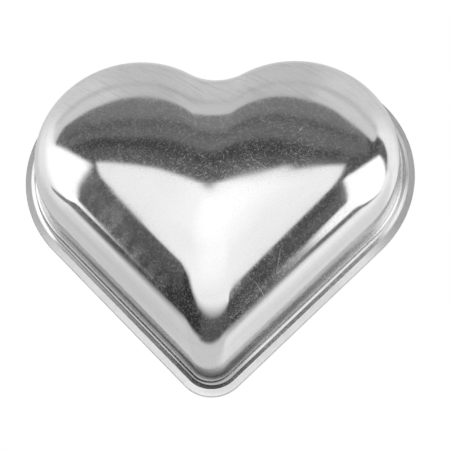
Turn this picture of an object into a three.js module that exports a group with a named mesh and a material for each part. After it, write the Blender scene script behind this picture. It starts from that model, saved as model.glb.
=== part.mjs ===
// Heart-shaped cake pan: one drawn sheet of aluminium, standing on its rim with the dome up.
// Millimetres. The origin is the middle of the footprint, on the plane of the trimmed edge;
// +Z is up, +X runs towards the right lobe and -Y towards the tip of the heart.
import * as THREE from "three";

// Plan, measured on the trimmed edge
const panWidth = 100; // across both lobes
const panLength = 89.5; // from the lobes to the tip
const lobeRadius = 29.5;
const tipRadius = 9.1;
const cleftRadius = 10.3; // hollow arc between the lobes
const trimShift = 0.5; // the edge is trimmed this far off the body, so the flange is widest at the tip

// Rim section, from the trimmed edge inwards. Slopes are in degrees above level.
const sheet = 0.5; // thickness of the aluminium
const landWidth = 0.45; // underside pressed level at the trimmed edge, which the pan rests on
const flangeRun = 1.4; // width of the flange in plan, halfway along the heart
const flangeSlope = 7;
const hollowRadius = 0.2; // corner between flange and riser
const riserRun = 0.68; // width of the riser in plan
const riserSlope = 39;
const shoulderRadius = 0.65; // rounding over the top of the riser
const ledgeRun = 0.2; // width of the ledge in plan
const ledgeSlope = 15;
const footRadius = 1.2; // hollow between ledge and wall
const wallSlope = 90; // the wall starts upright

// Dome
const panHeight = 28.5; // trimmed edge to crown, outside
const crownFromTip = 45; // tip to the highest point, in plan
const wallPower = 4; // a higher power keeps the wall upright for longer
const crownPower = 2; // a higher power makes the crown flatter
const ridgeRounding = 20; // widens the rounding of the tip as it becomes a ridge
const valleyRounding = 8; // softens the cleft as it runs up into a valley

// Facets
const landRows = 2; // rows whose underside lies on the plane that the pan rests on
const tipSteps = 5;
const sideSteps = 2;
const lobeSteps = 20;
const cleftSteps = 4;
const hollowSteps = 2;
const shoulderSteps = 2;
const footSteps = 4;
const domeSteps = 16;

const lobeX = panWidth / 2 - lobeRadius; // lobe centres, either side of the middle
const lobeY = panLength / 2 - lobeRadius;
const tipY = -panLength / 2;
const crownY = tipY + crownFromTip;
const sideAngle = sideNormalAngle();

function radians(degrees) {
  return (degrees * Math.PI) / 180;
}

// The straight side touches both the lobe circle and the tip circle. Its outward normal leans
// this far below the X axis.
function sideNormalAngle() {
  const reach = panLength - lobeRadius - tipRadius;
  const drop = lobeRadius - tipRadius;
  return Math.atan2(lobeX, reach) + Math.asin(drop / Math.hypot(lobeX, reach));
}

function arc(x, y, radius, from, to, steps) {
  return Array.from({ length: steps }, (_, i) => {
    const angle = from + ((to - from) * i) / steps;
    return new THREE.Vector2(x + radius * Math.cos(angle), y + radius * Math.sin(angle));
  });
}

function line(start, end, steps) {
  return Array.from({ length: steps }, (_, i) => start.clone().lerp(end, i / steps));
}

// One heart, anticlockwise from the tip: tip arc, straight side, lobe arc and cleft arc,
// then the same mirrored.
function heartOutline({ lobe, spread, y, tip, cleft }) {
  const normal = new THREE.Vector2(Math.cos(sideAngle), -Math.sin(sideAngle));
  const tipCentreY = (spread * normal.x + y * normal.y + lobe - tip) / normal.y;
  const cleftAngle = Math.asin(spread / (lobe + cleft));
  const cleftCentreY = y + (lobe + cleft) * Math.cos(cleftAngle);
  const down = -Math.PI / 2;
  const sideStart = normal.clone().multiplyScalar(tip).add({ x: 0, y: tipCentreY });
  const sideEnd = normal.clone().multiplyScalar(lobe).add({ x: spread, y });
  const right = [
    ...arc(0, tipCentreY, tip, down, -sideAngle, tipSteps),
    ...line(sideStart, sideEnd, sideSteps),
    ...arc(spread, y, lobe, -sideAngle, cleftAngle - down, lobeSteps),
    ...arc(0, cleftCentreY, cleft, down + cleftAngle, down, cleftSteps),
    new THREE.Vector2(0, cleftCentreY - cleft),
  ];
  const left = right.slice(1, -1).reverse();
  return [...right, ...left.map((p) => new THREE.Vector2(-p.x, p.y))];
}

// The rim in section, on its upper side: how far in from the trimmed edge, and how high.
function rimSection() {
  const points = [{ inset: 0, z: sheet }];
  const ramp = (run, slope) => {
    const start = points.at(-1);
    points.push({ inset: start.inset + run, z: start.z + run * Math.tan(radians(slope)) });
  };
  const bend = (radius, fromSlope, toSlope, steps) => {
    const start = points.at(-1);
    const from = radians(fromSlope);
    for (let i = 1; i <= steps; i++) {
      const slope = from + ((radians(toSlope) - from) * i) / steps;
      points.push({
        inset: start.inset + radius * Math.abs(Math.sin(slope) - Math.sin(from)),
        z: start.z + radius * Math.abs(Math.cos(slope) - Math.cos(from)),
      });
    }
  };
  ramp(landWidth, flangeSlope);
  ramp(flangeRun - landWidth, flangeSlope);
  bend(hollowRadius, flangeSlope, riserSlope, hollowSteps);
  ramp(riserRun, riserSlope);
  bend(shoulderRadius, riserSlope, ledgeSlope, shoulderSteps);
  ramp(ledgeRun, ledgeSlope);
  bend(footRadius, ledgeSlope, wallSlope, footSteps);
  return points;
}

// A rim contour is the trimmed edge moved inwards by an inset. Across the flange it also moves
// back by the trim's shift.
function rimContour({ inset, z }) {
  const across = THREE.MathUtils.inverseLerp(landWidth, flangeRun, inset);
  const plan = heartOutline({
    lobe: lobeRadius - inset,
    spread: lobeX,
    y: lobeY + trimShift * THREE.MathUtils.clamp(across, 0, 1),
    tip: tipRadius - inset,
    cleft: cleftRadius + inset,
  });
  return plan.map((p) => new THREE.Vector3(p.x, p.y, z));
}

// A dome contour is the foot of the wall shrunk towards the crown, with a softer tip and cleft.
// Share of plan to the crown power and share of height to the wall power add up to one.
function domeContour(foot, step) {
  const turn = (Math.PI / 2) * (step / domeSteps) ** (wallPower / 2);
  const share = Math.cos(turn) ** (2 / crownPower);
  const rise = Math.sin(turn) ** (2 / wallPower);
  const plan = heartOutline({
    lobe: (lobeRadius - foot.inset) * share,
    spread: lobeX * share,
    y: crownY + (lobeY + trimShift - crownY) * share,
    tip: (tipRadius - foot.inset + ridgeRounding * (1 - share)) * share,
    cleft: (cleftRadius + foot.inset) * share + valleyRounding * (1 - share),
  });
  const z = foot.z + (panHeight - foot.z) * rise;
  return plan.map((p) => new THREE.Vector3(p.x, p.y, z));
}

// The outside of the pan as rows of points, from the trimmed edge up to just below the crown.
function outsideRows() {
  const rim = rimSection();
  const rows = rim.map(rimContour);
  for (let step = 1; step < domeSteps; step++) rows.push(domeContour(rim.at(-1), step));
  return rows;
}

// The direction halfway between the two segments that meet at a point.
function tangent(before, here, after) {
  const out = new THREE.Vector3();
  if (before) out.add(here.clone().sub(before).normalize());
  if (after) out.add(after.clone().sub(here).normalize());
  return out.normalize();
}

// Each outside point moved in by the sheet along the surface's normal. Under the trimmed edge
// the sheet is level and rests on its land.
function insideRows(rows, crown) {
  return rows.map((row, i) =>
    row.map((point, j) => {
      if (i < landRows) return point.clone().setZ(0);
      const around = tangent(row.at(j - 1), point, row[(j + 1) % row.length]);
      const above = rows[i + 1] ? rows[i + 1][j] : crown;
      const up = tangent(rows[i - 1][j], point, above);
      const normal = around.cross(up).normalize();
      return point.clone().addScaledVector(normal, -sheet);
    }),
  );
}

function shellGeometry() {
  const crown = new THREE.Vector3(0, crownY, panHeight);
  const outer = outsideRows();
  const inner = insideRows(outer, crown);
  const columns = outer[0].length;
  const rows = [...outer, ...inner];
  const points = [...rows.flat(), crown, crown.clone().setZ(panHeight - sheet)];
  const triangles = [];
  const quad = (a, b, c, d) => triangles.push(a, b, c, a, c, d);
  const last = outer.length - 1;
  const outerCrown = points.length - 2;
  const innerCrown = points.length - 1;
  for (let j = 0; j < columns; j++) {
    const k = (j + 1) % columns;
    const out = (i, column) => i * columns + column;
    const inn = (i, column) => (outer.length + i) * columns + column;
    for (let i = 0; i < last; i++) {
      quad(out(i, j), out(i, k), out(i + 1, k), out(i + 1, j));
      quad(inn(i, k), inn(i, j), inn(i + 1, j), inn(i + 1, k));
    }
    triangles.push(out(last, j), out(last, k), outerCrown);
    triangles.push(inn(last, k), inn(last, j), innerCrown);
    quad(out(0, j), inn(0, j), inn(0, k), out(0, k));
  }
  const geometry = new THREE.BufferGeometry().setFromPoints(points).setIndex(triangles);
  geometry.computeVertexNormals();
  return geometry;
}

const aluminium = new THREE.MeshStandardMaterial({
  color: 0xd3d5d7,
  roughness: 0.18,
  metalness: 1,
});
const shell = new THREE.Mesh(shellGeometry(), aluminium);
shell.name = "heart_pan_shell";

const heartPan = new THREE.Group();
heartPan.add(shell);

export default heartPan;
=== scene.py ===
import math

import bpy
import numpy as np
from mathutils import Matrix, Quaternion, Vector


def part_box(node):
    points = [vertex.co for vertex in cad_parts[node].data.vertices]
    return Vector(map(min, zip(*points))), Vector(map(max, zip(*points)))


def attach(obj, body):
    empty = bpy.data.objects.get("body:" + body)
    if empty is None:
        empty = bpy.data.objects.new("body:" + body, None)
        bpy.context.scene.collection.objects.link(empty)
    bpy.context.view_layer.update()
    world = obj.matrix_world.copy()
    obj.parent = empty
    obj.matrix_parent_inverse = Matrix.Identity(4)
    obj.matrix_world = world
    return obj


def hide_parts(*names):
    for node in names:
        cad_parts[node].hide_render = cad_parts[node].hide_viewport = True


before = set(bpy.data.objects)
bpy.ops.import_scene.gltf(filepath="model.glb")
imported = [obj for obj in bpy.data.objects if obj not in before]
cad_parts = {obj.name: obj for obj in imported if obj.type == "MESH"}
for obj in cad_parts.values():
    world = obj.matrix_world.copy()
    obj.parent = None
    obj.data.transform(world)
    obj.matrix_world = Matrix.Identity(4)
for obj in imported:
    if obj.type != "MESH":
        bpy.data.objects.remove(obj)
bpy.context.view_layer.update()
panLow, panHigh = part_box("heart_pan_shell")
print("frame loaded, pan", [round(1000 * s, 2) for s in panHigh - panLow], "mm")


# Mesh and node helpers

def meshObject(name, points, faces, smooth=True):
    mesh = bpy.data.meshes.new(name)
    mesh.from_pydata(points.tolist(), [], faces)
    mesh.polygons.foreach_set("use_smooth", np.full(len(mesh.polygons), smooth))
    made = bpy.data.objects.new(name, mesh)
    bpy.context.scene.collection.objects.link(made)
    return made


def addNode(tree, kind, sockets={}, **settings):
    # sockets maps an input's name or number to a value, or to the output that is linked to it
    node = tree.nodes.new(kind)
    for key, value in settings.items():
        setattr(node, key, value)
    for key, value in sockets.items():
        if isinstance(value, bpy.types.NodeSocket):
            tree.links.new(value, node.inputs[key])
        else:
            node.inputs[key].default_value = value
    return node


def math2(tree, operation, a, b=0.0, clamp=False):
    return addNode(tree, "ShaderNodeMath", {0: a, 1: b}, operation=operation, use_clamp=clamp).outputs[0]


def remap(tree, value, fromLow, fromHigh, toLow=0.0, toHigh=1.0, smooth=False):
    sockets = {"Value": value, "From Min": fromLow, "From Max": fromHigh, "To Min": toLow, "To Max": toHigh}
    kind = "SMOOTHSTEP" if smooth else "LINEAR"
    return addNode(tree, "ShaderNodeMapRange", sockets, interpolation_type=kind).outputs["Result"]


def newMaterial(name):
    material = bpy.data.materials.new(name)
    material.use_nodes = True
    material.node_tree.nodes.clear()
    return material


# The pan: one pressed sheet. Sizes in metres, the three outer ones from the frame.

pan = dict(
    width=panHigh.x - panLow.x,
    length=panHigh.y - panLow.y,
    height=panHigh.z,
    lobe=0.0295, tip=0.0091, cleft=0.0103,  # radii of the trimmed edge in plan
    sheet=0.0005,
    edgeRound=0.0001,  # rounding at the corners of the trimmed edge
    land=0.00045,  # level underside at the trimmed edge
    flange=0.0014, flangeSlope=7,  # runs are widths in plan, slopes degrees above level
    hollow=0.0002, riser=0.00068, riserSlope=39,
    shoulder=0.00065, ledge=0.0002, ledgeSlope=15, foot=0.0012, wallSlope=90,
    trimShift=0.0005,  # the edge was trimmed this far off the body's middle, towards the tip
    crownFromTip=0.045,
    wallPower=4, crownPower=2,
    ridgeRounding=0.020, valleyRounding=0.008,
    columns=dict(tip=22, side=34, lobe=92, cleft=20),  # half the way round
    rows=dict(edge=8, land=3, flange=4, hollow=6, riser=4, shoulder=8, ledge=4, foot=10, dome=76),
    insideStep=2,  # the inside keeps every second dome row
    wallMarks=0.009,  # how far up the wall the marks of drawing fade out
    shadePeak=0.0036, shadeFade=0.0044,  # height where the painted shade is darkest, and how far it fades out above
    shadeFoot=0.4, shadeHollow=0.3,  # its share at the foot of the wall and in the hollow
    shadeTip=1.6,  # its reach up the wall at the tip, as a share of the peak's height
    aroundRadius=45,  # millimetres, of the circle that the lines up the wall are counted on
    waver=0.00003,  # the flange lifts by up to four times this in long waves
    wrinkle=0.000008, wrinklePitch=0.0013, wrinkleReach=0.007,  # pinched flange round the tip
)
lobeX = pan["width"] / 2 - pan["lobe"]
lobeY = pan["length"] / 2 - pan["lobe"]
tipEnd = -pan["length"] / 2
crownY = tipEnd + pan["crownFromTip"]


def sideAngle():
    # The straight side touches the lobe circle and the tip circle; its normal leans this far below X
    reach = pan["length"] - pan["lobe"] - pan["tip"]
    drop = pan["lobe"] - pan["tip"]
    return math.atan2(lobeX, reach) + math.asin(drop / math.hypot(lobeX, reach))


def heartRows(lobe, spread, y, tip, cleft):
    # One heart for each row: every input is a column of values, one a row. Anticlockwise from the tip:
    # tip arc, straight side, lobe arc, hollow cleft arc, then the same columns mirrored in X.
    lobe, spread, y, tip, cleft = (np.asarray(a, float).reshape(-1, 1) for a in (lobe, spread, y, tip, cleft))
    lean = sideAngle()
    nx, ny = math.cos(lean), -math.sin(lean)
    tipY = (spread * nx + y * ny + lobe - tip) / ny
    turn = np.arcsin(spread / (lobe + cleft))
    cleftY = y + (lobe + cleft) * np.cos(turn)
    share = {part: np.arange(count) / count for part, count in pan["columns"].items()}
    tipAngle = -math.pi / 2 + (math.pi / 2 - lean) * share["tip"]
    lobeAngle = -lean + (math.pi / 2 + turn + lean) * share["lobe"]
    cleftAngle = -math.pi / 2 + turn * (1 - share["cleft"])
    sideX = tip * nx + (spread + (lobe - tip) * nx) * share["side"]
    sideY = tipY + tip * ny + (y - tipY + (lobe - tip) * ny) * share["side"]
    x = np.hstack([tip * np.cos(tipAngle), sideX, spread + lobe * np.cos(lobeAngle),
                   cleft * np.cos(cleftAngle), np.zeros_like(tip)])
    y = np.hstack([tipY + tip * np.sin(tipAngle), sideY, y + lobe * np.sin(lobeAngle),
                   cleftY + cleft * np.sin(cleftAngle), cleftY - cleft])
    return np.hstack([x, -x[:, -2:0:-1]]), np.hstack([y, y[:, -2:0:-1]])


def rimSection():
    # The rim's upper side as inset and height, walked in from the trimmed edge: flange, hollow corner, riser,
    # rounded shoulder, ledge, hollow foot. A bend of radius r runs in by r times the change of the slope's
    # sine and up by r times the change of its cosine.
    count = pan["rows"]
    inset = [np.array([pan["edgeRound"]])]
    height = [pan["sheet"] + inset[0] * math.tan(math.radians(pan["flangeSlope"]))]

    def ramp(run, slope, steps):
        along = run * np.linspace(0, 1, steps + 1)[1:]
        inset.append(inset[-1][-1] + along)
        height.append(height[-1][-1] + along * math.tan(math.radians(slope)))

    def bend(radius, fromSlope, toSlope, steps):
        slope = np.radians(np.linspace(fromSlope, toSlope, steps + 1))
        inset.append(inset[-1][-1] + radius * np.abs(np.sin(slope[1:]) - np.sin(slope[0])))
        height.append(height[-1][-1] + radius * np.abs(np.cos(slope[1:]) - np.cos(slope[0])))

    ramp(pan["land"] - pan["edgeRound"], pan["flangeSlope"], count["land"])
    ramp(pan["flange"] - pan["land"], pan["flangeSlope"], count["flange"])
    bend(pan["hollow"], pan["flangeSlope"], pan["riserSlope"], count["hollow"])
    ramp(pan["riser"], pan["riserSlope"], count["riser"])
    bend(pan["shoulder"], pan["riserSlope"], pan["ledgeSlope"], count["shoulder"])
    ramp(pan["ledge"], pan["ledgeSlope"], count["ledge"])
    bend(pan["foot"], pan["ledgeSlope"], pan["wallSlope"], count["foot"])
    return np.hstack(inset), np.hstack(height)


def outsideGrid():
    # Rim rows are the trimmed edge moved in by the section's inset. Dome rows shrink the foot towards the
    # crown: share of plan to the crown power plus share of height to the wall power is one.
    inset, height = rimSection()
    shift = pan["trimShift"] * np.clip((inset - pan["land"]) / (pan["flange"] - pan["land"]), 0, 1)
    x, y = heartRows(pan["lobe"] - inset, np.full(len(inset), lobeX), lobeY + shift, pan["tip"] - inset,
                     pan["cleft"] + inset)
    rim = np.stack([x, y, np.broadcast_to(height[:, None], x.shape)], -1)
    v = np.arange(1, pan["rows"]["dome"]) / pan["rows"]["dome"]
    turn = math.pi / 2 * v ** (pan["wallPower"] / 2)
    share = np.cos(turn) ** (2 / pan["crownPower"])
    rise = np.sin(turn) ** (2 / pan["wallPower"])
    footInset, footHeight = inset[-1], height[-1]
    x, y = heartRows(
        (pan["lobe"] - footInset) * share, lobeX * share,
        crownY + (lobeY + pan["trimShift"] - crownY) * share,
        (pan["tip"] - footInset + pan["ridgeRounding"] * (1 - share)) * share,
        (pan["cleft"] + footInset) * share + pan["valleyRounding"] * (1 - share))
    z = footHeight + (pan["height"] - footHeight) * rise
    dome = np.stack([x, y, np.broadcast_to(z[:, None], x.shape)], -1)
    return rim, dome


def gridNormals(grid):
    # Outward normals from the differences along the rows and up the columns
    around = np.roll(grid, -1, 1) - np.roll(grid, 1, 1)
    up = np.gradient(grid, axis=0)
    normal = np.cross(around, up)
    return normal / np.linalg.norm(normal, axis=-1, keepdims=True)


def flangeLift(rim):
    # The flange lifts off the floor in a few long waves, and in fine pinches beside the tip, fading out to
    # the riser
    edge = rim[0]
    step = np.linalg.norm(np.roll(edge, -1, 0) - edge, axis=1)
    along = np.hstack([0, np.cumsum(step)[:-1]])
    turn = 2 * math.pi * along / step.sum()
    waves = 2 + np.sin(3 * turn + 0.7) + 0.6 * np.sin(7 * turn + 2.1) + 0.4 * np.sin(13 * turn + 4.0)
    fromTip = np.minimum(along, step.sum() - along)
    pinch = 1 + np.sin(2 * math.pi * fromTip / pan["wrinklePitch"])
    pinch = pinch * np.exp(-(fromTip / pan["wrinkleReach"]) ** 2)
    inset, _ = rimSection()
    fade = np.clip(1 - inset / pan["flange"], 0, 1)
    return fade[:, None] * (pan["waver"] * waves + pan["wrinkle"] * pinch)


def panShell():
    # From the inner crown down the inside, round the trimmed edge and up the outside to the outer crown
    rim, dome = outsideGrid()
    outside = np.vstack([rim, dome])
    normal = gridNormals(outside)
    inside = outside - pan["sheet"] * normal
    land = pan["rows"]["land"] + 1
    inside[:land] = outside[:land] * [1, 1, 0]
    lift = flangeLift(rim)
    outside[:len(rim), :, 2] += lift
    inside[:len(rim), :, 2] += lift
    turn = np.linspace(0, math.pi, pan["rows"]["edge"] + 2)[1:-1, None, None]
    across = 0.5 - 0.5 * np.sign(np.cos(turn)) * np.abs(np.cos(turn)) ** 0.5
    outward = normal[0] * [1, 1, 0]
    outward /= np.linalg.norm(outward, axis=1, keepdims=True)
    edge = inside[0] + (outside[0] - inside[0]) * across + outward * (pan["edgeRound"] * np.sin(turn) ** 0.5)
    kept = np.hstack([np.arange(len(rim)), np.arange(len(rim) + 1, len(outside), pan["insideStep"])])
    inner = inside[kept][::-1]
    grid = np.vstack([inner, edge, outside])
    rows, columns = grid.shape[:2]
    crown = np.array([0, crownY, pan["height"]])
    points = np.vstack([grid.reshape(-1, 3), crown - [0, 0, pan["sheet"]], crown])
    index = np.arange(rows * columns).reshape(rows, columns)
    after = np.roll(index, -1, 1)
    quads = np.stack([index[:-1], after[:-1], after[1:], index[1:]], -1).reshape(-1, 4)
    innerCrown = np.stack([np.full(columns, len(points) - 2), after[0], index[0]], -1)
    outerCrown = np.stack([np.full(columns, len(points) - 1), index[-1], after[-1]], -1)
    shell = meshObject("heart_pan", points, quads.tolist() + innerCrown.tolist() + outerCrown.tolist())
    # Masks that the finish reads, one value a row: the trimmed edge, the inside, the flange up to its hollow,
    # the rim up to its foot, the ledge with the low wall above it and the ring round the foot, both painted
    # shade, and the wall from its foot upwards
    inset, height = rimSection()
    rise = np.hstack([height, dome[:, 0, 2]]) - height[-1]
    footStart = inset[-1 - pan["rows"]["foot"]]
    hollow = np.clip((inset - footStart) / (inset[-1] - footStart), 0, 1)
    below = len(inner) + len(edge)
    onRim, onWall = slice(below, below + len(rim)), slice(below + len(rim), None)
    wallRise = rise[len(rim):]
    masks = {name: np.zeros(rows) for name in ("rawEdge", "inside", "flange", "rim", "ledge", "foot", "wall")}
    masks["rawEdge"][len(inner) - 1:below + 1] = 1
    masks["inside"][:len(inner)] = 1
    masks["flange"][onRim] = np.clip((pan["flange"] - inset) / pan["hollow"] + 1, 0, 1)
    masks["rim"][onRim] = 1 - hollow
    # the ledge and foot masks carry painted shade: the ledge, the hollow and the low wall darken where they
    # mirror the shadowed floor close to the pan
    masks["ledge"][onRim] = np.clip(1.5 - np.abs(inset - footStart + pan["ledge"]) / pan["riser"], 0, 1)
    masks["ledge"][onWall] = np.clip(pan["shadeTip"] - wallRise / pan["shadePeak"], 0, 1)
    masks["foot"][onRim] = pan["shadeHollow"] * hollow ** 2
    masks["foot"][onWall] = np.clip(1 - (wallRise - pan["shadePeak"]) / pan["shadeFade"], 0, 1)
    masks["foot"][onWall] *= np.clip(
        pan["shadeFoot"] + (1 - pan["shadeFoot"]) * wallRise / pan["shadePeak"], 0, 1)
    masks["wall"][onRim] = hollow
    masks["wall"][onWall] = np.clip(1 - wallRise / pan["wallMarks"], 0, 1)
    for name, mask in masks.items():
        layer = shell.data.attributes.new(name, "FLOAT", "POINT")
        layer.data.foreach_set("value", np.hstack([np.repeat(mask, columns), mask[0], mask[-1]]))
    # Round the pan as a circle in millimetres, so that a noise on it runs in lines up the wall
    turn = 2 * math.pi * np.arange(columns) / columns
    circle = pan["aroundRadius"] * np.stack([np.cos(turn), np.sin(turn), np.zeros(columns)], -1)
    layer = shell.data.attributes.new("around", "FLOAT_VECTOR", "POINT")
    layer.data.foreach_set("vector", np.vstack([np.tile(circle, (rows, 1)), np.zeros((2, 3))]).reshape(-1))
    return shell


# Bright rolled aluminium: specks, streaks from the rolling, rings from the drawing, scratches and smudges,
# with painted shade round the foot of the wall and on the flange round the lobes, and a painted highlight
# down the middle ridge.
# Lengths are in millimetres, the height and depth of the bumps in metres. A fade holds where it starts and
# ends and, if they aren't 0 and 1, its two values.

finish = dict(
    # the second colour here paints a highlight down the middle ridge
    colour=(0.84, 0.84, 0.84), ridgeHighlight=(0.905, 0.905, 0.905),
    # the last colour here is painted shade, laid round the foot of the wall and on the ledge at the tip
    dull=(0.70, 0.70, 0.70), paintedShadeColour=(0.37, 0.37, 0.37),
    roughness=0.075,  # of the bright sheet; the next two lines add to it
    grain=0.04, haze=0.04, smudge=0.06, scratch=0.16, edge=0.3, inner=0.12,
    flange=0.06, rim=0.14, lobeRim=0.24, wall=0.13,
    scatter=0.13, smudgeScatter=0.40, scratchScatter=0.6,  # light scattered by grain, smudges and scratches
    grainScale=2.8, grainGain=0.5, hazeScale=0.09,
    lobeFade=(-10.0, 4.0), lobeShade=0.7,  # along y, the flange turns rougher round the lobes, with painted shade darkening it there
    brightRim=(-36.0, -44.0, 1.0, 0.45),  # along x, the rim is brighter at the left lobe
    softRim=(38.0, 46.0, 1.0, 1.8),  # and softer at the right lobe
    rollingAngle=0.62, rollingStretch=(0.07, 1.3, 0.3), rollingTone=0.8,
    rollingFade=(20.0, 28.0),  # along y, the streaks of the rolling show only at the back
    ringStretch=(0.03, 0.03, 0.45), ringTone=0.30,
    drawnScale=1.3, drawnRise=0.06, drawnTone=0.18,  # lines up the wall
    drawnFade=(30.0, 10.0),  # with height
    ridgeFade=(15.0, 0.0),  # away from the middle; a highlight is painted down the middle ridge
    edgeTone=0.6,
    peelScale=1.1, peelHeight=1.6e-7,
    shadeAlong=(-2.0, -14.0),  # along y, painted shade darkens the foot of the wall towards the tip
    shadeAcross=(5.0, 25.0, 1.0, 0.72),  # along x, the painted shade is weaker on the right
    ledgeShadeAlong=(-32.0, -39.0, 0.0, 0.75),  # the ledge carries painted shade only at the tip
    smudges=[(-24.3, -7.2, 5.2, 1.0), (-28.0, -2.5, 4.2, 0.5), (-21.5, -12.0, 4.5, 0.7),
             (-17.5, -16.5, 4.0, 0.6), (-14.0, -20.5, 3.4, 0.4),
             (-11.0, -23.5, 2.8, 0.35)],  # x, y, radius, strength
    smudgeFade=(20.5, 22.5),  # with height
    clusters=[(-4.0, 4.5, 8.0, 1), (3.0, 6.0, 8.0, 1), (11.0, 7.0, 7.0, 0.8), (22.0, 12.0, 8.0, 1),
              (17.0, 17.0, 9.0, 0.7)],  # x, y, radius, strength of the places where hairlines gather
    hairlines=[(0.4, 0.5, 4.4), (1.25, 0.6, 3.6), (2.2, 0.6, 4.2), (2.9, 0.5, 3.4)],  # turn, spacing, length
    hairlineWidth=0.035, hairlineDepth=1.0e-7,
    cuts=[((10.6, 6.9), (15.4, 3.6)), ((17.7, -15.2), (16.9, -19.2)), ((11.3, -22.8), (14.6, -26.4)),
          ((-3.0, 8.5), (-0.5, 6.8))],  # single long scratches, from and to
    cutWidth=0.09,
)


def nodeGroup(name, inputs, output):
    group = bpy.data.node_groups.new(name, "ShaderNodeTree")
    for socket, kind in inputs.items():
        group.interface.new_socket(socket, in_out="INPUT", socket_type="NodeSocket" + kind)
    group.interface.new_socket(output, in_out="OUTPUT", socket_type="NodeSocketFloat")
    return group, group.nodes.new("NodeGroupInput").outputs, group.nodes.new("NodeGroupOutput").inputs[output]


def vectors(tree, operation, *values, output="Vector"):
    return addNode(tree, "ShaderNodeVectorMath", dict(enumerate(values)), operation=operation).outputs[output]


def noise(tree, place, scale=1.0, detail=2.0):
    sockets = {"Vector": place, "Scale": scale, "Detail": detail}
    return addNode(tree, "ShaderNodeTexNoise", sockets).outputs["Fac"]


def hairlineGroup():
    # Thin level lines of a noise stretched along one direction, broken up by a second noise
    inputs = dict(Vector="Vector", Angle="Float", Spacing="Float", Length="Float", Width="Float")
    group, given, mask = nodeGroup("hairlines", inputs, "Mask")
    turned = addNode(group, "ShaderNodeVectorRotate", {"Vector": given["Vector"], "Angle": given["Angle"]},
                     rotation_type="Z_AXIS").outputs["Vector"]
    frequency = addNode(group, "ShaderNodeCombineXYZ", {
        "X": math2(group, "DIVIDE", 1.0, given["Length"]),
        "Y": math2(group, "DIVIDE", 1.0, given["Spacing"]),
        "Z": math2(group, "DIVIDE", 0.3, given["Length"])}).outputs["Vector"]
    stretched = vectors(group, "MULTIPLY", turned, frequency)
    distance = math2(group, "ABSOLUTE", math2(group, "SUBTRACT", noise(group, stretched, detail=0.0), 0.5))
    line = math2(group, "SUBTRACT", 1.0, math2(group, "DIVIDE", distance, given["Width"]), clamp=True)
    gaps = remap(group, noise(group, stretched, 1.7, 0.0), 0.63, 0.71)
    group.links.new(math2(group, "MULTIPLY", line, gaps), mask)
    return group


def cutGroup():
    # One scratch in plan: how near a point lies to the line from Start to End, thinning towards the ends
    inputs = dict(Vector="Vector", Start="Vector", End="Vector", Width="Float")
    group, given, mask = nodeGroup("cut", inputs, "Mask")
    flat = vectors(group, "MULTIPLY", given["Vector"], (1, 1, 0))
    reach = vectors(group, "SUBTRACT", given["End"], given["Start"])
    fromStart = vectors(group, "SUBTRACT", flat, given["Start"])
    square = vectors(group, "DOT_PRODUCT", reach, reach, output="Value")
    onLine = vectors(group, "DOT_PRODUCT", fromStart, reach, output="Value")
    along = math2(group, "DIVIDE", onLine, square, clamp=True)
    nearest = vectors(group, "MULTIPLY", reach, along)
    distance = vectors(group, "DISTANCE", fromStart, nearest, output="Value")
    ends = math2(group, "MULTIPLY", along, math2(group, "SUBTRACT", 1.0, along))
    taper = math2(group, "ADD", math2(group, "MULTIPLY", ends, 3.0), 0.25)
    width = math2(group, "MULTIPLY", given["Width"], taper)
    group.links.new(math2(group, "SUBTRACT", 1.0, math2(group, "DIVIDE", distance, width), clamp=True), mask)
    return group


def patches(tree, flat, spots):
    # A round spot's strength in its middle, fading to 0 at its radius
    total = 0.0
    for x, y, radius, strength in spots:
        distance = vectors(tree, "DISTANCE", flat, (x, y, 0), output="Value")
        total = math2(tree, "MAXIMUM", remap(tree, distance, radius, 0.0, 0.0, strength, smooth=True), total)
    return total


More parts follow.
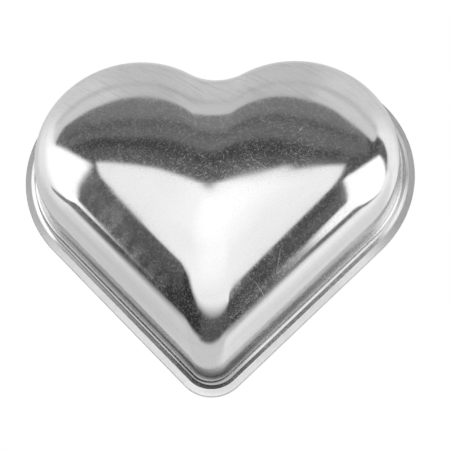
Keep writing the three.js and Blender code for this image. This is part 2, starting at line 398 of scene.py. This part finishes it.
def brightAluminium():
    material = newMaterial("bright_aluminium")
    tree = material.node_tree
    place = addNode(tree, "ShaderNodeTexCoord").outputs["Object"]
    mm = addNode(tree, "ShaderNodeVectorMath", {0: place, "Scale": 1000.0},
                 operation="SCALE").outputs["Vector"]
    flat = vectors(tree, "MULTIPLY", mm, (1, 1, 0))

    cells = addNode(tree, "ShaderNodeTexVoronoi", {"Vector": mm, "Scale": finish["grainScale"]})
    grain = remap(tree, cells.outputs["Color"], 0.5, 0.9)
    haze = remap(tree, noise(tree, mm, finish["hazeScale"], 4.0), 0.4, 0.7, smooth=True)
    axes = addNode(tree, "ShaderNodeSeparateXYZ", {0: mm}).outputs
    smudge = math2(tree, "MULTIPLY", patches(tree, flat, finish["smudges"]),
                   remap(tree, noise(tree, mm, 0.3, 3.0), 0.2, 0.6, smooth=True))
    smudge = math2(tree, "MULTIPLY", smudge, remap(tree, axes["Z"], *finish["smudgeFade"]))
    turned = addNode(tree, "ShaderNodeVectorRotate", {"Vector": mm, "Angle": finish["rollingAngle"]},
                     rotation_type="Z_AXIS").outputs["Vector"]
    rolling = noise(tree, vectors(tree, "MULTIPLY", turned, finish["rollingStretch"]), 1.0, 3.0)
    rings = noise(tree, vectors(tree, "MULTIPLY", mm, finish["ringStretch"]), 1.0, 2.0)

    lineGroup, oneCut = hairlineGroup(), cutGroup()
    scratches = 0.0
    for angle, spacing, length in finish["hairlines"]:
        lines = addNode(tree, "ShaderNodeGroup", node_tree=lineGroup)
        tree.links.new(mm, lines.inputs["Vector"])
        for socket, value in (("Angle", angle), ("Spacing", spacing), ("Length", length),
                              ("Width", finish["hairlineWidth"])):
            lines.inputs[socket].default_value = value
        scratches = math2(tree, "MAXIMUM", lines.outputs["Mask"], scratches)
    scratches = math2(tree, "MULTIPLY", scratches, patches(tree, flat, finish["clusters"]))
    for start, end in finish["cuts"]:
        cut = addNode(tree, "ShaderNodeGroup", node_tree=oneCut)
        tree.links.new(mm, cut.inputs["Vector"])
        cut.inputs["Start"].default_value = (*start, 0)
        cut.inputs["End"].default_value = (*end, 0)
        cut.inputs["Width"].default_value = finish["cutWidth"]
        scratches = math2(tree, "MAXIMUM", cut.outputs["Mask"], scratches)

    rawEdge, inner, flange, rim, ledge, foot, wall = (
        addNode(tree, "ShaderNodeAttribute", attribute_name=name).outputs["Fac"]
        for name in ("rawEdge", "inside", "flange", "rim", "ledge", "foot", "wall"))
    lobeRim = math2(tree, "MULTIPLY", flange, remap(tree, axes["Y"], *finish["lobeFade"], smooth=True))
    rim = math2(tree, "MULTIPLY", rim, remap(tree, axes["X"], *finish["brightRim"], smooth=True))
    rim = math2(tree, "MULTIPLY", rim, remap(tree, axes["X"], *finish["softRim"], smooth=True))
    rough = finish["roughness"]
    for mask, amount in ((grain, "grain"), (haze, "haze"), (smudge, "smudge"), (scratches, "scratch"),
                         (rawEdge, "edge"), (inner, "inner"), (flange, "flange"), (rim, "rim"),
                         (lobeRim, "lobeRim"), (wall, "wall")):
        rough = math2(tree, "ADD", math2(tree, "MULTIPLY", mask, finish[amount]), rough, clamp=True)

    around = addNode(tree, "ShaderNodeAttribute", attribute_name="around").outputs["Vector"]
    rise = addNode(tree, "ShaderNodeCombineXYZ", {
        "Z": math2(tree, "MULTIPLY", axes["Z"], finish["drawnRise"])}).outputs["Vector"]
    drawn = remap(tree, noise(tree, vectors(tree, "ADD", around, rise), finish["drawnScale"], 2.0), 0.5, 0.72)
    drawn = math2(tree, "MULTIPLY", drawn, remap(tree, axes["Z"], *finish["drawnFade"], smooth=True))

    across = math2(tree, "ABSOLUTE", axes["X"])
    ridge = remap(tree, across, *finish["ridgeFade"], smooth=True)
    streaked = remap(tree, axes["Y"], *finish["rollingFade"], smooth=True)
    worn = math2(tree, "MULTIPLY", remap(tree, rolling, 0.52, 0.70, 0.0, finish["rollingTone"]), streaked)
    ringed = remap(tree, rings, 0.45, 0.7)
    worn = math2(tree, "ADD", math2(tree, "MULTIPLY", ringed, finish["ringTone"]), worn)
    worn = math2(tree, "ADD", math2(tree, "MULTIPLY", drawn, finish["drawnTone"]), worn)
    # painted shade: the flange round the lobes darkens where it mirrors the shadowed floor beside the pan
    worn = math2(tree, "ADD", math2(tree, "MULTIPLY", lobeRim, finish["lobeShade"]), worn)
    worn = math2(tree, "ADD", math2(tree, "MULTIPLY", rawEdge, finish["edgeTone"]), worn, clamp=True)
    # the colour sockets of a Mix node are 6 and 7
    # painted highlight: the sheet's colour is lighter down the middle ridge, to brighten its reflection of
    # the overhead light
    base = addNode(tree, "ShaderNodeMix", {0: ridge, 6: (*finish["colour"], 1), 7: (*finish["ridgeHighlight"], 1)},
                   data_type="RGBA").outputs[2]
    colour = addNode(tree, "ShaderNodeMix", {0: worn, 6: base, 7: (*finish["dull"], 1)},
                     data_type="RGBA").outputs[2]

    # painted shade: the foot of the wall, its hollow and the ledge at the tip darken where they mirror the
    # shadowed floor close to the pan
    paintedShadeMask = math2(tree, "MULTIPLY", foot, remap(tree, axes["Y"], *finish["shadeAlong"], smooth=True))
    paintedShadeMask = math2(tree, "MULTIPLY", paintedShadeMask, remap(tree, axes["X"], *finish["shadeAcross"]))
    paintedShadeMask = math2(tree, "MAXIMUM", paintedShadeMask, math2(
        tree, "MULTIPLY", ledge, remap(tree, axes["Y"], *finish["ledgeShadeAlong"], smooth=True)))
    colour = addNode(tree, "ShaderNodeMix", {0: paintedShadeMask, 6: colour, 7: (*finish["paintedShadeColour"], 1)},
                     data_type="RGBA").outputs[2]

    # the specks scatter light but lose none, so they lighten dark reflections and hardly show in bright ones
    gain = math2(tree, "ADD", math2(tree, "MULTIPLY", grain, finish["grainGain"] * finish["scatter"]), 1.0)
    colour = addNode(tree, "ShaderNodeVectorMath", {0: colour, "Scale": gain},
                     operation="SCALE").outputs["Vector"]

    height = math2(tree, "MULTIPLY", noise(tree, mm, finish["peelScale"]), finish["peelHeight"])
    height = math2(tree, "SUBTRACT", height, math2(tree, "MULTIPLY", scratches, finish["hairlineDepth"]))
    bump = addNode(tree, "ShaderNodeBump", {"Strength": 1.0, "Distance": 1.0, "Height": height})
    scattered = math2(tree, "MULTIPLY", grain, finish["scatter"])
    scattered = math2(tree, "ADD", math2(tree, "MULTIPLY", smudge, finish["smudgeScatter"]), scattered)
    scratched = math2(tree, "MULTIPLY", scratches, finish["scratchScatter"])
    scattered = math2(tree, "ADD", scratched, scattered, clamp=True)
    shader = addNode(tree, "ShaderNodeBsdfPrincipled", {
        "Base Color": colour, "Metallic": math2(tree, "SUBTRACT", 1.0, scattered), "Roughness": rough,
        "Normal": bump.outputs["Normal"]})
    addNode(tree, "ShaderNodeOutputMaterial", {"Surface": shader.outputs["BSDF"]})
    return material


shell = panShell()
shell.data.materials.append(brightAluminium())
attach(shell, "root")
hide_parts("heart_pan_shell")
print("pan shell", len(shell.data.vertices), "points", len(shell.data.polygons), "faces")


# Studio: a pale floor, and soft boxes and walls drawn as glowing cards that only the reflections see

studio = dict(floorSize=8.0, room=0.034, reach=3.0, layer=0.04, steps=48,
              pool=0.09, poolEnd=0.145, farFloor=0.78)  # the floor's glow paints a pool of light: white up to pool, this grey from poolEnd on
# Each card is an outline of (across, up, softness) corners on a sphere round the pan, in degrees of azimuth
# from the tip, anticlockwise from above, and of elevation. For a flat one, across and up are X and Y on a
# plane at unit height overhead, seen from the pan. Later cards hang in front of earlier ones.
cards = {
    "floor": dict(strength=0.66, outline=[
        (-182, -88, 1), (182, -88, 1), (182, 2, 2), (66, 2, 2), (62, -20, 4), (40, -14, 6), (10, -4, 6),
        (-66, -4, 4), (-74, 2, 2), (-182, 2, 2)]),
    "frontFloor": dict(strength=0.62, outline=[
        (-70, -70, 14), (60, -70, 14), (61, -24, 5), (59.3, -9, 5), (55, -3, 6), (45, 4, 9), (30, 9.5, 12),
        (10, 16, 15), (-10, 20, 12), (-30, 21, 9), (-50, 19, 7), (-60, 14, 5), (-66, 8, 4), (-70, -2, 4)]),
    "leftFloor": dict(strength=0.90, outline=[
        (-135, -22, 18), (-74, -20, 12), (-67, -6, 4), (-70, 2, 3), (-90, 3, 3), (-135, 12, 8)]),
    "rightFloor": dict(strength=0.80, outline=[
        (36, -86, 34), (150, -86, 12), (150, -60, 12), (128, -20, 8), (128, 6, 8), (105, 0, 2),
        (60, 0, 0.7), (60, -16, 1), (54, -28, 12), (42, -50, 30)]),
    "rightGlow": dict(strength=1.02, outline=[
        (64, -35, 10), (108, -34, 12), (112, -10, 8), (72, -18, 6), (61, -18, 3), (60, -26, 4)]),
    "frontDim": dict(strength=0.085, outline=[
        (-22, 16, 9), (60, 8, 6), (61, 44, 5), (20, 56, 6), (-18, 50, 9)]),
    "leftDim": dict(strength=0.10, outline=[
        (-130, 26, 6), (-122, 60, 6), (-80, 62, 6), (-73, 46, 6), (-72, 14, 3)]),
    "rightDim": dict(strength=0.08, outline=[
        (61, 10, 2), (62, 36, 3), (70, 54, 4), (110, 54, 4), (124, 40, 4), (124, 10, 3)]),
    "backDim": dict(strength=0.10, outline=[(116, 40, 6), (242, 30, 6), (242, 70, 3), (116, 70, 3)]),
    "wallHigh": dict(strength=0.15, outline=[
        (112, 30, 2), (240, 14, 1), (238, 34, 3), (230, 41, 2), (220, 47, 2), (210, 52, 2), (195, 57, 1.5),
        (180, 58, 1.5), (160, 58, 1.5), (150, 57, 1.5), (140, 55, 2), (130, 50, 2), (122, 45, 3)]),
    "wallLow": dict(strength=0.20, outline=[
        (125, 20, 4), (222, 14, 5), (218, 40, 4), (210, 44, 2), (200, 47, 1.5), (180, 47, 1.5),
        (165, 48, 1.5), (150, 47, 2), (140, 44, 2), (132, 38, 4)]),
    "wallLine": dict(strength=0.085, outline=[
        (236, 29, 3), (228, 35, 3), (220, 41, 3), (210, 45, 3), (200, 48, 3), (180, 48, 3), (165, 49, 3),
        (150, 48, 3), (140, 45, 3), (130, 39, 3), (131, 37, 3), (141, 43, 3), (151, 46, 3), (165, 47, 3),
        (180, 46, 3), (200, 46, 3), (209, 43, 3), (219, 39, 3), (227, 33, 3), (235, 27, 3)]),
    "wallTop": dict(strength=0.058, outline=[
        (240, 31, 1.2), (230, 39, 1.2), (220, 45.5, 1.2), (210, 50.5, 1.2), (195, 54, 1.2), (180, 55, 1.2),
        (160, 56, 1.2), (150, 56, 1.2), (140, 54, 1.2), (130, 49, 1.2), (128, 52, 1.2), (138, 57, 1.2),
        (150, 59.5, 1.2), (160, 60.5, 1.2), (180, 60.5, 1.2), (196, 59, 1.2), (211, 54, 1.2),
        (222, 49, 1.2), (232, 43, 1.2), (242, 35, 1.2)]),
    "sweep": dict(strength=0.69, outline=[
        (104, -60, 4), (250, -60, 4), (245, 15, 1), (240, 16, 1), (230, 20, 1), (225, 24.5, 1),
        (220, 27.5, 1), (210, 31.5, 1), (195, 34, 1), (180, 35.5, 1), (165, 37.5, 1), (148, 37, 1),
        (140, 35.5, 1), (130, 30.5, 1), (122, 24, 1), (121, 20, 1), (124, 14, 1.5), (119, 4, 2),
        (112, -8, 3), (104, -20, 4)]),
    "sweepRight": dict(strength=0.98, outline=[
        (104, -86, 10), (134, -86, 16), (132, 4, 12), (125, 12, 3), (119, 4, 2), (112, -8, 3),
        (104, -20, 4)]),
    "sweepLeft": dict(strength=0.92, outline=[
        (256, -30, 14), (230, -30, 14), (228, 8, 9), (245, 13, 1), (256, 10, 6)]),
    "sweepMiddle": dict(strength=0.585, outline=[
        (168, -34, 14), (202, -34, 14), (202, 31, 3), (195, 34, 1), (180, 35.5, 1), (168, 37, 1),
        (165, 36, 3)]),
    "sweepLine": dict(strength=0.50, outline=[
        (232, 8, 4), (222, 15, 4), (210, 20, 4), (195, 24, 4), (180, 25, 4), (165, 26, 4), (150, 25, 4),
        (138, 22, 4), (128, 15, 4), (129, 12, 4), (139, 18, 4), (151, 22, 4), (165, 23, 4), (180, 22, 4),
        (195, 21, 4), (209, 17, 4), (221, 12, 4), (231, 5, 4)]),
    "spill": dict(strength=0.115, flat=True, outline=[
        (-0.25, -0.4, 0.2), (0.9, -0.5, 0.05), (1.2, -0.74, 0.05), (1.5, -1.0, 0.1), (1.2, -0.98, 0.3),
        (0.3, -0.98, 0.4), (-0.15, -0.75, 0.3)]),
    "overhead": dict(strength=1.0, flat=True, outline=[
        (-0.735, 0.485, 0.012), (-0.3, 0.49, 0.012), (-0.19, 0.468, 0.02), (-0.085, 0.425, 0.05),
        (0, 0.45, 0.03), (0.08, 0.435, 0.025), (0.22, 0.445, 0.02), (0.27, 0.39, 0.015),
        (0.79, 0.365, 0.04), (0.80, 0.2, 0.05), (0.745, -0.22, 0.02), (0.79, -0.34, 0.02),
        (0.90, -0.48, 0.02), (1.15, -0.68, 0.04), (1.0, -0.65, 0.22), (0.6, -0.66, 0.24),
        (0.3, -0.63, 0.24), (0.1, -0.60, 0.24), (-0.1, -0.55, 0.2), (-0.3, -0.46, 0.13),
        (-0.40, -0.30, 0.08), (-0.43, -0.16, 0.09), (-0.52, -0.10, 0.05), (-0.69, -0.05, 0.015),
        (-0.675, 0.04, 0.015), (-0.68, 0.14, 0.02), (-0.73, 0.3, 0.03)]),
    "overheadLeft": dict(strength=0.98, flat=True, outline=[
        (-0.735, 0.485, 0.012), (-0.52, 0.487, 0.012), (-0.46, 0.30, 0.12), (-0.46, 0.06, 0.12),
        (-0.52, -0.08, 0.04), (-0.69, -0.05, 0.015), (-0.675, 0.04, 0.015), (-0.68, 0.14, 0.02),
        (-0.73, 0.3, 0.03)]),
    "overheadFront": dict(strength=0.95, flat=True, outline=[
        (-0.3, -0.2, 0.14), (0.7, -0.14, 0.14), (0.745, -0.22, 0.03), (0.78, -0.34, 0.03),
        (0.5, -0.42, 0.1), (-0.2, -0.36, 0.1)]),
    "overheadMiddle": dict(strength=1.16, flat=True, outline=[
        (-0.12, 0.36, 0.08), (0.17, 0.37, 0.08), (0.3, 0.18, 0.16), (0.2, -0.06, 0.2), (-0.1, -0.06, 0.2),
        (-0.2, 0.12, 0.15)]),
    "leftHaze": dict(strength=0.22, outline=[
        (-72, 20, 2), (-76, 26, 4), (-84, 34, 5), (-96, 44, 5), (-110, 51, 5), (-110, 44, 4), (-90, 30, 4),
        (-76, 18, 3)]),
    "rightHaze": dict(strength=0.17, outline=[
        (100, 50, 4), (88, 48, 5), (76, 42, 5), (66, 34, 4), (64, 24, 3), (72, 24, 3), (100, 40, 4)]),
    "left": dict(strength=1.25, outline=[
        (-120, 47, 2), (-118.5, 16, 1.5), (-119, 0, 12), (-97, 0, 9), (-86, 2, 3), (-77, 7, 1.5),
        (-71.5, 13.5, 1), (-69.6, 16.8, 0.6), (-71, 20.5, 1), (-75, 23, 1.5), (-80, 27.5, 2.5),
        (-88, 33.5, 2.5), (-100, 41, 2.5), (-112, 46, 2)]),
    "right": dict(strength=1.25, outline=[
        (61.3, 10.5, 0.6), (61.2, 0, 1), (65, -9, 1.5), (84, -23, 3), (97, -16, 3), (100, -12, 2),
        (103, -3, 2), (107, 4, 2), (110, 12, 1.5), (108, 22, 2), (105, 35, 2), (100, 46, 1.5),
        (95, 47, 1.5), (88, 43, 2), (79, 36.5, 2), (70, 27, 2), (62.7, 18, 0.8)]),
    "leftSmear": dict(strength=0.22, outline=[
        (-69.5, 12, 1), (-77, 6, 1), (-85, 0, 1.5), (-91, -7, 2), (-88, -8, 2), (-80, -3, 1.5),
        (-69.5, 3, 1)]),
    "rightSmear": dict(strength=0.15, outline=[
        (59.3, 3, 1), (60, -9, 1.5), (63, -14, 2), (70, -18, 2), (80, -23, 2.5), (85, -25, 3), (78, -20, 2),
        (66, -8, 1.5), (61, 0, 1.2)]),
    "rightGap": dict(strength=0.12, outline=[
        (111, 14, 1), (121, 12, 1.5), (119, 4, 2), (112, -6, 2), (105, -11, 4), (100, -16, 5),
        (101, -10, 3), (104, -4, 2), (108, 4, 1.5)]),
}


def coverOf(a, b, outline):
    # Signed distance to the outline, positive inside, in units of a softness that runs evenly from corner to
    # corner
    distance = np.full(a.shape, np.inf)
    soft = np.ones(a.shape)
    inside = np.zeros(a.shape, bool)
    for (a0, b0, soft0), (a1, b1, soft1) in zip(outline, outline[1:] + outline[:1]):
        da, db = a1 - a0, b1 - b0
        t = np.clip(((a - a0) * da + (b - b0) * db) / (da * da + db * db), 0, 1)
        gap = np.hypot(a - a0 - t * da, b - b0 - t * db)
        soft = np.where(gap < distance, soft0 + t * (soft1 - soft0), soft)
        distance = np.minimum(gap, distance)
        crossed = (b0 > b) != (b1 > b)
        inside ^= crossed & (a < a0 + da * (b - b0) / (db or 1))
    return np.where(inside, distance, -distance) / soft


def cardGlow(name, strength):
    material = newMaterial(name + "_glow")
    tree = material.node_tree
    cover = addNode(tree, "ShaderNodeAttribute", attribute_name="cover").outputs["Fac"]
    cover = remap(tree, cover, -1.0, 1.0, smooth=True)
    light = addNode(tree, "ShaderNodeEmission", {"Strength": strength}).outputs["Emission"]
    clear = addNode(tree, "ShaderNodeBsdfTransparent").outputs["BSDF"]
    shown = addNode(tree, "ShaderNodeMixShader", {"Fac": cover, 1: clear, 2: light}).outputs["Shader"]
    addNode(tree, "ShaderNodeOutputMaterial", {"Surface": shown})
    return material


def softCard(name, layer, strength, outline, flat=False):
    # A grid over the outline's box, a softness wider, carrying how far inside the outline each point lies
    corners = np.array(outline, float)
    low = (corners[:, :2] - corners[:, 2:]).min(0)
    high = (corners[:, :2] + corners[:, 2:]).max(0)
    steps = studio["steps"]
    a, b = np.meshgrid(np.linspace(low[0], high[0], steps + 1), np.linspace(low[1], high[1], steps + 1))
    if flat:
        points = np.stack([a, b, np.ones_like(a)], -1)
        points /= np.linalg.norm(points, axis=-1, keepdims=True)
    else:
        azimuth, elevation = np.radians(a), np.radians(b)
        points = np.stack([np.sin(azimuth) * np.cos(elevation), -np.cos(azimuth) * np.cos(elevation),
                           np.sin(elevation)], -1)
    points *= studio["reach"] - layer * studio["layer"]
    index = np.arange(a.size).reshape(a.shape)
    faces = np.stack([index[:-1, :-1], index[:-1, 1:], index[1:, 1:], index[1:, :-1]], -1).reshape(-1, 4)
    card = meshObject("card_" + name, points.reshape(-1, 3), faces.tolist(), smooth=False)
    cover = card.data.attributes.new("cover", "FLOAT", "POINT")
    cover.data.foreach_set("value", coverOf(a, b, outline).reshape(-1))
    card.data.materials.append(cardGlow(name, strength))
    card.visible_camera = False
    card.visible_shadow = False


def paleFloor():
    # Plain paper whose glow paints a pool of light: white round the pan, pale grey further off, and clear
    # from below. Reflections see the floor card instead.
    half = studio["floorSize"] / 2
    points = np.array([(-half, -half, 0), (half, -half, 0), (half, half, 0), (-half, half, 0)])
    floor = meshObject("floor", points, [(0, 1, 2, 3)], smooth=False)
    material = newMaterial("pale_floor")
    tree = material.node_tree
    place = addNode(tree, "ShaderNodeTexCoord").outputs["Object"]
    away = vectors(tree, "LENGTH", place, output="Value")
    # painted pool of light: the glow is white near the pan and greyer further off
    tone = remap(tree, away, studio["pool"], studio["poolEnd"], 1.0, studio["farFloor"], smooth=True)
    white = addNode(tree, "ShaderNodeEmission", {"Strength": tone}).outputs["Emission"]
    clear = addNode(tree, "ShaderNodeBsdfTransparent").outputs["BSDF"]
    below = addNode(tree, "ShaderNodeNewGeometry").outputs["Backfacing"]
    shown = addNode(tree, "ShaderNodeMixShader", {"Fac": below, 1: white, 2: clear}).outputs["Shader"]
    addNode(tree, "ShaderNodeOutputMaterial", {"Surface": shown})
    floor.data.materials.append(material)
    floor.visible_glossy = False
    floor.visible_diffuse = False


def roomLight():
    # White behind the object to the camera, a dim room to everything else
    world = bpy.data.worlds.new("studio_room")
    world.use_nodes = True
    tree = world.node_tree
    tree.nodes.clear()
    tone = studio["room"]
    dim = addNode(tree, "ShaderNodeBackground", {"Color": (tone, tone, tone, 1)}).outputs["Background"]
    white = addNode(tree, "ShaderNodeBackground", {"Color": (1, 1, 1, 1)}).outputs["Background"]
    seen = addNode(tree, "ShaderNodeLightPath").outputs["Is Camera Ray"]
    shown = addNode(tree, "ShaderNodeMixShader", {"Fac": seen, 1: dim, 2: white}).outputs["Shader"]
    addNode(tree, "ShaderNodeOutputWorld", {"Surface": shown})
    bpy.context.scene.world = world


paleFloor()
roomLight()
for layer, (cardName, card) in enumerate(cards.items()):
    softCard(cardName, layer, **card)
bpy.context.scene.view_settings.view_transform = "Standard"
print("studio", len(cards), "cards")


# Camera: from above the tip, a little to its right, rolled clockwise

viewpoint = dict(azimuth=11.97, elevation=65.02, roll=10.64, distance=0.6, lens=192.1,
                 aim=(0.00269, -0.00206, 0.00868), centre=(0, 0.00025, 0.010))


def photoCamera():
    azimuth, elevation, roll = (math.radians(viewpoint[k]) for k in ("azimuth", "elevation", "roll"))
    back = Vector((math.sin(azimuth) * math.cos(elevation), -math.cos(azimuth) * math.cos(elevation),
                   math.sin(elevation)))
    data = bpy.data.cameras.new("photo_camera")
    data.lens = viewpoint["lens"]
    data.sensor_width = 36
    data.clip_start = 0.01
    camera = bpy.data.objects.new("photo_camera", data)
    bpy.context.scene.collection.objects.link(camera)
    camera.location = Vector(viewpoint["centre"]) + back * viewpoint["distance"]
    look = Vector(viewpoint["aim"]) - camera.location
    camera.rotation_mode = "QUATERNION"
    camera.rotation_quaternion = look.to_track_quat("-Z", "Y") @ Quaternion((0, 0, 1), -roll)
    bpy.context.scene.camera = camera


photoCamera()
